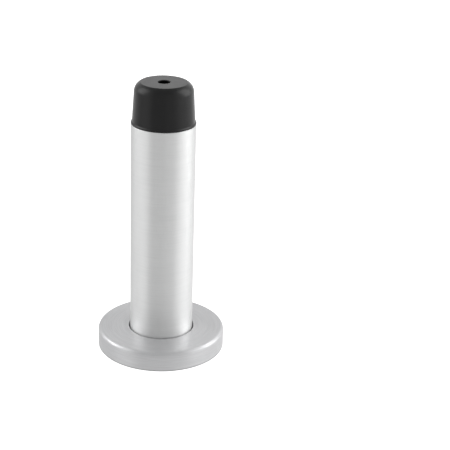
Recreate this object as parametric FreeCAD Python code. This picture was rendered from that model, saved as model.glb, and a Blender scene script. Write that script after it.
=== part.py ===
import FreeCAD, Part
import math
import os

# Sprung door stop for a wall: a tube with a rubber cap on a coil spring, standing in a flat round rose.
# Millimetres. Z is the stop's axis and points away from the wall. The origin is the middle of the
# rose's underside, in the plane of the wall.

# Rose, the flat ring against the wall
rose_diameter = 44.5
rose_height = 7.0
rose_edge_round = 1.4
rose_foot_round = 0.15
rose_bore_round = 0.25

# Tube
tube_diameter = 22.0
tube_wall = 1.5
tube_length = 78.75
tube_edge_round = 0.2

# Spring: a close-wound coil, held by its first and last turns
wire_diameter = 1.1
spring_diameter = 10.4
spring_turns = 29
coil_gap = 0.12

# Seat, the plated foot that is screwed to the wall: its flange is pressed into the rose and its boss
# holds the spring
flange_diameter = 34.0
flange_thickness = 2.0
boss_shoulder_height = 7.65
boss_height = 9.65
boss_rim_width = 0.6
boss_round = 0.5
socket_depth = 6.2
seat_stud_length = 5.6

# Wall screws' holes: on a circle round the spring, each sunk for a screw's head
screw_count = 3
screw_circle_diameter = 16.0
screw_hole_diameter = 4.3
screw_head_diameter = 6.4
first_screw_angle = -90.0

# Core, the plug pressed into the tube between the spring and the cap
core_land_length = 10.0
core_waist_diameter = 12.0
core_stud_length = 4.5
core_round = 0.5

# Rubber cap
cap_height = 14.15
cap_lip_height = 0.8
cap_lip_width = 0.35
cap_lip_round = 0.15
cap_draft = 0.75
cap_shoulder_width = 2.0
cap_shoulder_drop = 1.0
cap_shoulder_round = 3.5
cap_rim_round = 0.4
cap_spigot_length = 7.0
cap_hole_diameter = 4.2
cap_hole_round = 0.25

# Screw that holds the cap
head_diameter = 8.0
head_height = 2.8
head_round = 1.2
head_depth = 6.2
shank_diameter = 4.0
shank_round = 0.4
thread_engagement = 9.0
drive_diameter = 2.6
drive_depth = 1.6

# Clearances
tube_to_rose = 0.45
tube_to_flange = 1.6
tube_to_boss = 0.5
spring_to_socket = 0.25
spring_to_stud = 0.12
spring_end_gap = 0.05
press_gap = 0.02
head_gap = 0.15
shank_gap = 0.2
thread_end_gap = 2.0

# Places that follow from the sizes above
tube_radius = tube_diameter / 2
bore_radius = tube_radius - tube_wall
tube_foot = flange_thickness + tube_to_flange
tube_top = tube_foot + tube_length
rose_bore_radius = tube_radius + tube_to_rose
boss_radius = bore_radius - tube_to_boss
spring_outer_radius = spring_diameter / 2
coil_radius = spring_outer_radius - wire_diameter / 2
coil_pitch = wire_diameter + coil_gap
coil_height = spring_turns * coil_pitch
stud_radius = spring_outer_radius - wire_diameter - spring_to_stud
socket_radius = spring_outer_radius + spring_to_socket
socket_floor = boss_height - socket_depth
spring_foot = socket_floor + spring_end_gap
core_foot = spring_foot + coil_height + wire_diameter + spring_end_gap
core_top = tube_top - cap_spigot_length
land_radius = bore_radius - press_gap
cap_top = tube_top + cap_height
head_seat = cap_top - head_depth - head_height
shank_end = core_top - thread_engagement


def corner(before, at, after, radius):
    """Start, middle and end of the arc that rounds one corner of an outline."""
    one = (before - at).normalize()
    two = (after - at).normalize()
    half = one.getAngle(two) / 2
    centre = at + (one + two).normalize() * (radius / math.sin(half))
    middle = centre + (at - centre).normalize() * radius
    reach = radius / math.tan(half)
    return at + one * reach, middle, at + two * reach


def turned(outline):
    """Solid of revolution about Z of a closed outline: (radius, height) or (radius, height, rounding)."""
    points = [FreeCAD.Vector(point[0], 0, point[1]) for point in outline]
    roundings = [point[2] if len(point) > 2 else 0 for point in outline]
    count = len(points)
    bends = []
    for i in range(count):
        if roundings[i]:
            bends.append(corner(points[i - 1], points[i], points[(i + 1) % count], roundings[i]))
        else:
            bends.append((points[i], points[i], points[i]))
    edges = []
    for i in range(count):
        start, middle, end = bends[i]
        if roundings[i]:
            edges.append(Part.Arc(start, middle, end).toShape())
        edges.append(Part.LineSegment(end, bends[(i + 1) % count][0]).toShape())
    face = Part.Face(Part.Wire(edges))
    return face.revolve(FreeCAD.Vector(0, 0, 0), FreeCAD.Vector(0, 0, 1), 360)


def upright(diameter, bottom, top, x=0.0, y=0.0):
    """Cylinder along Z."""
    return Part.makeCylinder(diameter / 2, top - bottom, FreeCAD.Vector(x, y, bottom))


def rose():
    """Flat ring with a hole for the tube's foot and a recess under it for the seat's flange."""
    outer = rose_diameter / 2
    recess = flange_diameter / 2 + press_gap
    return turned([
        (recess, 0),
        (outer, 0, rose_foot_round),
        (outer, rose_height, rose_edge_round),
        (rose_bore_radius, rose_height, rose_bore_round),
        (rose_bore_radius, flange_thickness),
        (recess, flange_thickness),
    ])


def screw_hole(x, y):
    """Through hole with a countersink in the flange and a clear way for the screw's head above it."""
    hole = screw_hole_diameter / 2
    head = screw_head_diameter / 2
    sink_depth = head - hole
    sink_foot = FreeCAD.Vector(x, y, flange_thickness - sink_depth)
    through = upright(screw_hole_diameter, -flange_thickness, flange_thickness, x, y)
    sink = Part.makeCone(hole, head, sink_depth, sink_foot)
    way = upright(screw_head_diameter, flange_thickness, 2 * boss_height, x, y)
    return through.fuse([sink, way])


def screw_holes():
    """The wall screws' holes, evenly round their circle."""
    reach = screw_circle_diameter / 2
    holes = []
    for i in range(screw_count):
        angle = math.radians(first_screw_angle + i * 360 / screw_count)
        holes.append(screw_hole(reach * math.cos(angle), reach * math.sin(angle)))
    return holes


def spring_seat():
    """Flange under the rose and a coned boss in its hole, with a socket and a stud for the spring."""
    flange = flange_diameter / 2
    stud_top = socket_floor + seat_stud_length
    seat = turned([
        (0, 0),
        (flange, 0),
        (flange, flange_thickness),
        (boss_radius, flange_thickness),
        (boss_radius, boss_shoulder_height, boss_round),
        (socket_radius + boss_rim_width, boss_height),
        (socket_radius, boss_height),
        (socket_radius, socket_floor),
        (stud_radius, socket_floor),
        (stud_radius, stud_top, boss_round),
        (0, stud_top),
    ])
    return seat.cut(screw_holes())


def spring():
    """Round wire wound close on a helix."""
    helix = Part.makeHelix(coil_pitch, coil_height, coil_radius)
    start = FreeCAD.Vector(coil_radius, 0, 0)
    direction = FreeCAD.Vector(0, 2 * math.pi * coil_radius, coil_pitch)
    section = Part.Wire(Part.makeCircle(wire_diameter / 2, start, direction))
    coil = Part.Wire(helix.Edges).makePipeShell([section], True, True)
    coil.translate(FreeCAD.Vector(0, 0, spring_foot + wire_diameter / 2))
    return coil


def tube():
    """Plain sleeve with its edges just broken."""
    return turned([
        (bore_radius, tube_foot, tube_edge_round),
        (tube_radius, tube_foot, tube_edge_round),
        (tube_radius, tube_top, tube_edge_round),
        (bore_radius, tube_top, tube_edge_round),
    ])


def tube_core():
    """Waisted plug: a stud for the spring below and a threaded hole for the cap's screw above."""
    waist = core_waist_diameter / 2
    core = turned([
        (0, core_foot - core_stud_length),
        (stud_radius, core_foot - core_stud_length, core_round),
        (stud_radius, core_foot),
        (land_radius, core_foot, core_round),
        (land_radius, core_foot + core_land_length, core_round),
        (waist, core_foot + core_land_length, core_round),
        (waist, core_top - core_land_length, core_round),
        (land_radius, core_top - core_land_length, core_round),
        (land_radius, core_top, core_round),
        (0, core_top),
    ])
    thread = upright(shank_diameter + 2 * press_gap, shank_end - thread_end_gap, tube_top)
    return core.cut(thread)


def rubber_cap():
    """Buffer with a lip on the tube's end, a spigot in it, and a stepped hole for its screw."""
    side = tube_radius - cap_lip_width
    shoulder = side - cap_draft
    mouth = cap_hole_diameter / 2
    head_way = head_diameter / 2 + head_gap
    shank_way = shank_diameter / 2 + shank_gap
    return turned([
        (shank_way, core_top),
        (land_radius, core_top, core_round),
        (land_radius, tube_top),
        (tube_radius, tube_top),
        (tube_radius, tube_top + cap_lip_height / 2, cap_lip_round),
        (side, tube_top + cap_lip_height, cap_lip_round),
        (shoulder, cap_top - cap_shoulder_drop, cap_shoulder_round),
        (shoulder - cap_shoulder_width, cap_top, cap_rim_round),
        (mouth, cap_top, cap_hole_round),
        (mouth, head_seat + head_height + head_gap),
        (head_way, head_seat + head_height + head_gap),
        (head_way, head_seat),
        (shank_way, head_seat),
    ])


def cap_screw():
    """Pan-headed screw through the cap into the core."""
    head = head_diameter / 2
    shank = shank_diameter / 2
    head_top = head_seat + head_height
    screw = turned([
        (0, shank_end),
        (shank, shank_end, shank_round),
        (shank, head_seat),
        (head, head_seat),
        (head, head_top, head_round),
        (0, head_top),
    ])
    return screw.cut(upright(drive_diameter, head_top - drive_depth, head_top + drive_depth))


parts = {
    "rose": rose,
    "spring_seat": spring_seat,
    "spring": spring,
    "tube": tube,
    "tube_core": tube_core,
    "rubber_cap": rubber_cap,
    "cap_screw": cap_screw,
}

os.makedirs("parts", exist_ok=True)
for name, make in parts.items():
    make().exportStep(f"parts/{name}.step")
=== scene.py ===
import math

import bmesh
import bpy
from mathutils import Matrix, Vector


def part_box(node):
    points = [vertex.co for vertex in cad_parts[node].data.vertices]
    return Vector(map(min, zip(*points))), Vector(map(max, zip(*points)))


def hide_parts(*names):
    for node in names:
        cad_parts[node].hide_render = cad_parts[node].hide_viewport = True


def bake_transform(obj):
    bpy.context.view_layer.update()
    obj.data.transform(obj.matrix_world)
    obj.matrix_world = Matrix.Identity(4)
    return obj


# Sprung wall door stop, dressed: satin turned rose and tube, warm nickel seat, coil spring, rubber cap.
# Metres, in the frame's own axes: +Z along the tube, the camera on the -Y side.

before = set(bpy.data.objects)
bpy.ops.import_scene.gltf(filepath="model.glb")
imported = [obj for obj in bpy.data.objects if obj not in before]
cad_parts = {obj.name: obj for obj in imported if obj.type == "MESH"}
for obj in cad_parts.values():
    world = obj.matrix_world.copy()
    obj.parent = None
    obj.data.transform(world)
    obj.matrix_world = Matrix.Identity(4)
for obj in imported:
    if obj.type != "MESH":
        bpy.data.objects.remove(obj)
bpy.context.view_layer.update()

MM = 0.001
WHITE = (1, 1, 1, 1)

# The photograph's camera
IMAGE_SIDE = 450
FOCAL_PIXELS = 1279.1
SENSOR_WIDTH = 36.0
CAMERA_PLACE = Vector((0.0009, -0.4086, 0.2157))
CAMERA_YAW = math.radians(2.91)
CAMERA_PITCH = math.radians(22.58)
CAMERA_ROLL = math.radians(1.88)
NEAREST_SEEN = 0.01

# Spring
WIRE_DIAMETER = 1.1 * MM
SPRING_TURNS = 29
STEPS_PER_TURN = 48
WIRE_SIDES = 20

# Noise of the finishes: its finer layers, their strength, and the span in which it mostly stays
NOISE_DETAIL = 3.0
NOISE_ROUGHNESS = 0.6
NOISE_LOW = 0.3
NOISE_HIGH = 0.7

# Narrower span of that noise, which gives the marks on the satin metal their contrast
MARKS_LOW = 0.42
MARKS_HIGH = 0.58

# Turn of the shine's long way from along the turning to across it, in whole turns
ACROSS_THE_TURNING = 0.25

# Painted shade round the rose just over the wall, a painted contact shadow: its height, and how bright it is
# at the wall
FOOT_SHADE_HEIGHT = 0.6 * MM
FOOT_SHADE_LEVEL = 0.45

# Studio
FLOOR_RADIUS = 6.0
FLOOR_SIDES = 96
FLOOR_COLOUR = (0.8, 0.8, 0.8, 1)
FLOOR_ROUGHNESS = 0.9
FLOOR_GLOW = 0.85
SOFTBOX_DISTANCE = 0.75
# Brightness of the tent's wall by direction: degrees from the camera's side towards +X
WALL_LEVELS = [
    (-180, 0.86),
    (-150, 0.68),
    (-120, 0.62),
    (-95, 0.50),
    (-75, 0.83),
    (-58, 0.88),
    (-40, 0.47),
    (-20, 0.56),
    (0, 0.52),
    (20, 0.65),
    (38, 0.60),
    (52, 0.81),
    (68, 1.02),
    (90, 0.74),
    (120, 0.72),
    (150, 0.96),
    (180, 0.86),
]
# Its top and its foot: brightness, and the heights of direction between which the wall gives way to them
TENT_TOP = (0.49, 0.40, 0.80)
TENT_FOOT = (1.00, -0.50, -0.75)


def node(tree, kind, inputs=None, **properties):
    """New node. Each input is a plain value, or a socket to link from."""
    made = tree.nodes.new(kind)
    for name, value in properties.items():
        setattr(made, name, value)
    for key, value in (inputs or {}).items():
        if isinstance(value, bpy.types.NodeSocket):
            tree.links.new(value, made.inputs[key])
        else:
            made.inputs[key].default_value = value
    return made


def scaled(tree, value, factor):
    """Socket that holds value times factor."""
    return node(tree, "ShaderNodeMath", {0: value, 1: factor}, operation="MULTIPLY").outputs[0]


def ranged(tree, value, low, high, starts=NOISE_LOW, ends=NOISE_HIGH):
    """Socket that goes from low to high while value goes from starts to ends, and no further."""
    return node(tree, "ShaderNodeMapRange", {
        "Value": value,
        "From Min": starts,
        "From Max": ends,
        "To Min": low,
        "To Max": high,
    }).outputs["Result"]


def turned_noise(tree, spacing, drift):
    """Noise in rings round Z, as a lathe leaves them: spacing apart, and changing over a length of drift."""
    place = node(tree, "ShaderNodeTexCoord").outputs["Object"]
    x, y, z = node(tree, "ShaderNodeSeparateXYZ", {0: place}).outputs
    flat = node(tree, "ShaderNodeCombineXYZ", {"X": x, "Y": y}).outputs[0]
    radius = node(tree, "ShaderNodeVectorMath", {0: flat}, operation="LENGTH").outputs["Value"]
    rings = node(tree, "ShaderNodeCombineXYZ", {
        "X": scaled(tree, radius, 1 / spacing),
        "Y": scaled(tree, z, 1 / spacing),
        "Z": scaled(tree, x, 1 / drift),
    }).outputs[0]
    return node(tree, "ShaderNodeTexNoise", {
        "Vector": rings,
        "W": scaled(tree, y, 1 / drift),
        "Scale": 1.0,
        "Detail": NOISE_DETAIL,
        "Roughness": NOISE_ROUGHNESS,
    }, noise_dimensions="4D").outputs["Fac"]


def grain(tree, size):
    """Noise with specks of a given size."""
    place = node(tree, "ShaderNodeTexCoord").outputs["Object"]
    return node(tree, "ShaderNodeTexNoise", {
        "Vector": place,
        "Scale": 1 / size,
        "Detail": NOISE_DETAIL,
        "Roughness": NOISE_ROUGHNESS,
    }).outputs["Fac"]


def tinted(tree, noise, dark, light):
    """Socket with a colour between dark and light, as the noise has it."""
    made = node(tree, "ShaderNodeMix", {0: ranged(tree, noise, 0, 1)}, data_type="RGBA")
    ends = [socket for socket in made.inputs if socket.type == "RGBA"]
    ends[0].default_value = (*dark, 1)
    ends[1].default_value = (*light, 1)
    return next(socket for socket in made.outputs if socket.type == "RGBA")


def bump(tree, height, depth):
    """Normal of a surface raised by height, 0 to 1, times depth."""
    return node(tree, "ShaderNodeBump", {
        "Height": height,
        "Strength": 1.0,
        "Distance": depth,
    }).outputs["Normal"]


def material(name):
    """New material with a principled shader: the material, its tree and the shader."""
    made = bpy.data.materials.new(name)
    made.use_nodes = True
    tree = made.node_tree
    tree.nodes.clear()
    shader = node(tree, "ShaderNodeBsdfPrincipled")
    node(tree, "ShaderNodeOutputMaterial", {"Surface": shader.outputs["BSDF"]})
    return made, tree, shader


def set_plain(shader, **values):
    """Sets plain values on the shader's inputs; an underscore in a name stands for a space."""
    for name, value in values.items():
        shader.inputs[name.replace("_", " ")].default_value = value


def connect(tree, shader, **sockets):
    """Links sockets to the shader's inputs; an underscore in a name stands for a space."""
    for name, socket in sockets.items():
        tree.links.new(socket, shader.inputs[name.replace("_", " ")])


def paint_foot_shade(tree, colour):
    """Colour with painted shade, darker towards the wall, as a painted contact shadow where little light
    comes.
    """
    place = node(tree, "ShaderNodeTexCoord").outputs["Object"]
    height = node(tree, "ShaderNodeSeparateXYZ", {0: place}).outputs["Z"]
    # Painted contact shadow: the colour falls to this level at the wall
    level = ranged(tree, height, low=FOOT_SHADE_LEVEL, high=1, starts=0, ends=FOOT_SHADE_HEIGHT)
    shaded = node(tree, "ShaderNodeVectorMath", {0: colour, 1: level}, operation="MULTIPLY")
    return shaded.outputs["Vector"]


def turned_steel(name, dark, light, smooth, rough, anisotropy, with_foot_shade=False):
    """Satin metal whose fine turning spreads its shine; on a wall, painted shade darkens its foot."""
    made, tree, shader = material(name)
    fine = turned_noise(tree, spacing=0.09 * MM, drift=9 * MM)
    broad = turned_noise(tree, spacing=0.9 * MM, drift=25 * MM)
    colour = tinted(tree, broad, dark, light)
    set_plain(shader, Metallic=1.0, Anisotropic=anisotropy, Anisotropic_Rotation=ACROSS_THE_TURNING)
    connect(
        tree, shader,
        # Painted shade along the foot when the piece stands on a wall
        Base_Color=paint_foot_shade(tree, colour) if with_foot_shade else colour,
        Roughness=ranged(tree, fine, smooth, rough, starts=MARKS_LOW, ends=MARKS_HIGH),
        Normal=bump(tree, fine, depth=0.0007 * MM),
    )
    return made


def rose_satin():
    """The rose's greyer satin metal."""
    return turned_steel(
        "rose_satin",
        dark=(0.705, 0.707, 0.716),
        light=(0.725, 0.727, 0.736),
        smooth=0.36,
        rough=0.70,
        anisotropy=0.4,
        # The rose gets the painted contact shadow at its foot
        with_foot_shade=True,
    )


def tube_satin():
    """The tube's brighter satin metal."""
    return turned_steel(
        "tube_satin",
        dark=(0.837, 0.842, 0.84),
        light=(0.857, 0.862, 0.86),
        smooth=0.40,
        rough=0.62,
        anisotropy=0.7,
    )


def nickel():
    """Warm semi-bright plating with the lathe's marks just showing."""
    made, tree, shader = material("nickel_plate")
    rings = turned_noise(tree, spacing=0.3 * MM, drift=12 * MM)
    cloud = grain(tree, size=3 * MM)
    set_plain(shader, Metallic=1.0, Anisotropic=0.3)
    connect(
        tree, shader,
        Base_Color=tinted(tree, cloud, dark=(0.80, 0.74, 0.71), light=(0.87, 0.82, 0.79)),
        Roughness=ranged(tree, cloud, low=0.34, high=0.46),
        Normal=bump(tree, rings, depth=0.003 * MM),
    )
    return made


def spring_wire():
    """Drawn wire, plated: small pits and a little unevenness in its shine."""
    made, tree, shader = material("spring_wire")
    cloud = grain(tree, size=1.2 * MM)
    pits = grain(tree, size=0.12 * MM)
    set_plain(shader, Metallic=1.0)
    connect(
        tree, shader,
        Base_Color=tinted(tree, cloud, dark=(0.56, 0.51, 0.47), light=(0.70, 0.66, 0.62)),
        Roughness=ranged(tree, cloud, low=0.2, high=0.34),
        Normal=bump(tree, pits, depth=0.004 * MM),
    )
    return made


def rubber():
    """Matt moulded rubber with a soft sheen."""
    made, tree, shader = material("black_rubber")
    fine = grain(tree, size=0.15 * MM)
    cloud = grain(tree, size=4 * MM)
    set_plain(shader, Specular_IOR_Level=0.40, Sheen_Weight=0.30, Sheen_Roughness=0.30)
    connect(
        tree, shader,
        Base_Color=tinted(tree, cloud, dark=(0.0018, 0.0018, 0.0021), light=(0.0028, 0.0028, 0.0031)),
        Roughness=ranged(tree, cloud, low=0.30, high=0.36),
        Normal=bump(tree, fine, depth=0.004 * MM),
    )
    return made


def core_metal():
    """Turned plug, hidden in the tube."""
    made, tree, shader = material("core_metal")
    rings = turned_noise(tree, spacing=0.35 * MM, drift=15 * MM)
    set_plain(shader, Metallic=1.0)
    connect(
        tree, shader,
        Base_Color=tinted(tree, rings, dark=(0.55, 0.55, 0.55), light=(0.66, 0.66, 0.66)),
        Roughness=ranged(tree, rings, low=0.3, high=0.45),
        Normal=bump(tree, rings, depth=0.006 * MM),
    )
    return made


def dark_steel():
    """Blackened screw."""
    made, tree, shader = material("screw_steel")
    cloud = grain(tree, size=0.8 * MM)
    set_plain(shader, Metallic=1.0)
    connect(
        tree, shader,
        Base_Color=tinted(tree, cloud, dark=(0.10, 0.10, 0.10), light=(0.18, 0.17, 0.17)),
        Roughness=ranged(tree, cloud, low=0.35, high=0.5),
        Normal=bump(tree, cloud, depth=0.01 * MM),
    )
    return made


def dress(name, finish):
    """Gives a CAD node its material."""
    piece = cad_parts[name]
    if not piece.material_slots:
        piece.data.materials.append(finish)
    for slot in piece.material_slots:
        slot.material = finish


def mesh_of(work, name):
    """Mesh of what a bmesh holds."""
    mesh = bpy.data.meshes.new(name)
    work.to_mesh(mesh)
    work.free()
    return mesh


def placed(name, data):
    """New object in the scene."""
    made = bpy.data.objects.new(name, data)
    bpy.context.scene.collection.objects.link(made)
    return made


def wire_maker(finish):
    """Geometry nodes that make round wire of a line; it keeps its thickness as the line bends."""
    tree = bpy.data.node_groups.new("wire", "GeometryNodeTree")
    for way in ("INPUT", "OUTPUT"):
        tree.interface.new_socket("Geometry", in_out=way, socket_type="NodeSocketGeometry")
    line = node(tree, "NodeGroupInput").outputs[0]
    path = node(tree, "GeometryNodeMeshToCurve", {"Mesh": line}).outputs["Curve"]
    circle = node(tree, "GeometryNodeCurvePrimitiveCircle", {
        "Resolution": WIRE_SIDES,
        "Radius": WIRE_DIAMETER / 2,
    }).outputs["Curve"]
    wire = node(tree, "GeometryNodeCurveToMesh", {
        "Curve": path,
        "Profile Curve": circle,
        "Fill Caps": True,
    }).outputs["Mesh"]
    plated = node(tree, "GeometryNodeSetMaterial", {"Geometry": wire, "Material": finish})
    node(tree, "NodeGroupOutput", {0: plated.outputs["Geometry"]})
    return tree


def coil(name):
    """Middle line of the spring's wire, in the place of its CAD node."""
    low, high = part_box("spring")
    wire = WIRE_DIAMETER / 2
    reach = (high.x - low.x) / 2 - wire
    foot = low.z + wire
    climb = (high.z - low.z - WIRE_DIAMETER) / SPRING_TURNS
    work = bmesh.new()
    points = []
    for step in range(SPRING_TURNS * STEPS_PER_TURN + 1):
        turns = step / STEPS_PER_TURN
        angle = 2 * math.pi * turns
        place = (reach * math.cos(angle), reach * math.sin(angle), foot + climb * turns)
        points.append(work.verts.new(place))
    for here, there in zip(points, points[1:]):
        work.edges.new((here, there))
    return placed(name, mesh_of(work, name))


def add_spring(finish):
    """Spring of round wire in the place of the spring's CAD node, which it hides."""
    piece = coil("spring_coil")
    piece.data.materials.append(finish)
    piece.modifiers.new("wire", "NODES").node_group = wire_maker(finish)
    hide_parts("spring")
    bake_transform(piece)


def add_camera():
    """The camera at the photograph's view."""
    data = bpy.data.cameras.new("photo_camera")
    data.sensor_width = SENSOR_WIDTH
    data.lens = FOCAL_PIXELS / IMAGE_SIDE * SENSOR_WIDTH
    data.clip_start = NEAREST_SEEN
    camera = placed("photo_camera", data)
    turned = Matrix.Rotation(-CAMERA_YAW, 4, "Z")
    tilted = Matrix.Rotation(math.pi / 2 - CAMERA_PITCH, 4, "X")
    rolled = Matrix.Rotation(CAMERA_ROLL, 4, "Z")
    camera.matrix_world = Matrix.Translation(CAMERA_PLACE) @ turned @ tilted @ rolled
    bpy.context.scene.camera = camera


def add_floor():
    """Plain pale floor that glows, so that it hardly takes a shadow. Reflections show the tent."""
    work = bmesh.new()
    rim = []
    for i in range(FLOOR_SIDES):
        angle = 2 * math.pi * i / FLOOR_SIDES
        rim.append(work.verts.new((FLOOR_RADIUS * math.cos(angle), FLOOR_RADIUS * math.sin(angle), 0)))
    work.faces.new(rim)
    mesh = mesh_of(work, "floor")
    finish, _, shader = material("pale_floor")
    set_plain(
        shader,
        Base_Color=FLOOR_COLOUR,
        Roughness=FLOOR_ROUGHNESS,
        Emission_Color=WHITE,
        Emission_Strength=FLOOR_GLOW,
    )
    mesh.materials.append(finish)
    floor = placed("floor", mesh)
    floor.visible_glossy = False


def add_softbox(name, azimuth, elevation, width, height, level):
    """Upright soft light, facing the object; azimuth is from the camera's side towards +X."""
    data = bpy.data.lights.new(name, "AREA")
    data.shape = "RECTANGLE"
    data.size = width
    data.size_y = height
    # Power that gives a face of this size its brightness
    data.energy = level * math.pi * width * height
    light = placed(name, data)
    turn = math.radians(azimuth)
    rise = math.radians(elevation)
    way = Vector((math.sin(turn) * math.cos(rise), -math.cos(turn) * math.cos(rise), math.sin(rise)))
    light.location = way * SOFTBOX_DISTANCE
    light.rotation_mode = "QUATERNION"
    light.rotation_quaternion = way.to_track_quat("Z", "Y")


def wall_light(tree, x, y):
    """Socket with the brightness of the tent's wall in a direction."""
    front = scaled(tree, y, -1.0)
    azimuth = node(tree, "ShaderNodeMath", {0: x, 1: front}, operation="ARCTAN2").outputs[0]
    share = ranged(tree, azimuth, 0, 1, starts=-math.pi, ends=math.pi)
    ramp = node(tree, "ShaderNodeValToRGB", {"Fac": share})
    ramp.color_ramp.interpolation = "EASE"
    # Its colours are shares of the brightest level
    peak = max(level for _, level in WALL_LEVELS)
    stops = ramp.color_ramp.elements
    # New stops begin in the middle and get their places below
    while len(stops) < len(WALL_LEVELS):
        stops.new(0.5)
    for stop, (degrees, level) in zip(stops, WALL_LEVELS):
        stop.position = (degrees + 180) / 360
        stop.color = (level / peak, level / peak, level / peak, 1)
    return scaled(tree, ramp.outputs["Color"], peak)


def add_tent():
    """Light tent, seen in reflections: wall, dimmer top and white foot. The camera sees plain white."""
    world = bpy.data.worlds.new("tent")
    bpy.context.scene.world = world
    world.use_nodes = True
    tree = world.node_tree
    tree.nodes.clear()
    way = node(tree, "ShaderNodeTexCoord").outputs["Generated"]
    x, y, z = node(tree, "ShaderNodeSeparateXYZ", {0: way}).outputs
    brightness = wall_light(tree, x, y)
    for level, starts, whole in (TENT_TOP, TENT_FOOT):
        share = node(tree, "ShaderNodeMapRange", {
            "Value": z,
            "From Min": starts,
            "From Max": whole,
        }, interpolation_type="SMOOTHSTEP").outputs["Result"]
        mixed = node(tree, "ShaderNodeMix", {0: share, 2: brightness, 3: level}, data_type="FLOAT")
        brightness = mixed.outputs[0]
    tent = node(tree, "ShaderNodeBackground", {"Color": WHITE, "Strength": brightness}).outputs[0]
    plain = node(tree, "ShaderNodeBackground", {"Color": WHITE, "Strength": 1.0}).outputs[0]
    straight = node(tree, "ShaderNodeLightPath").outputs["Is Camera Ray"]
    both = node(tree, "ShaderNodeMixShader", {0: straight, 1: tent, 2: plain}).outputs[0]
    node(tree, "ShaderNodeOutputWorld", {"Surface": both})


dress("rose", rose_satin())
dress("tube", tube_satin())
dress("spring_seat", nickel())
dress("tube_core", core_metal())
dress("rubber_cap", rubber())
dress("cap_screw", dark_steel())
add_spring(spring_wire())

add_floor()
add_tent()
add_softbox("left_softbox", azimuth=-101, elevation=32, width=0.46, height=0.60, level=1.9)
add_softbox("right_softbox", azimuth=99, elevation=28, width=0.50, height=0.76, level=1.95)
add_camera()
bpy.context.scene.view_settings.view_transform = "Standard"
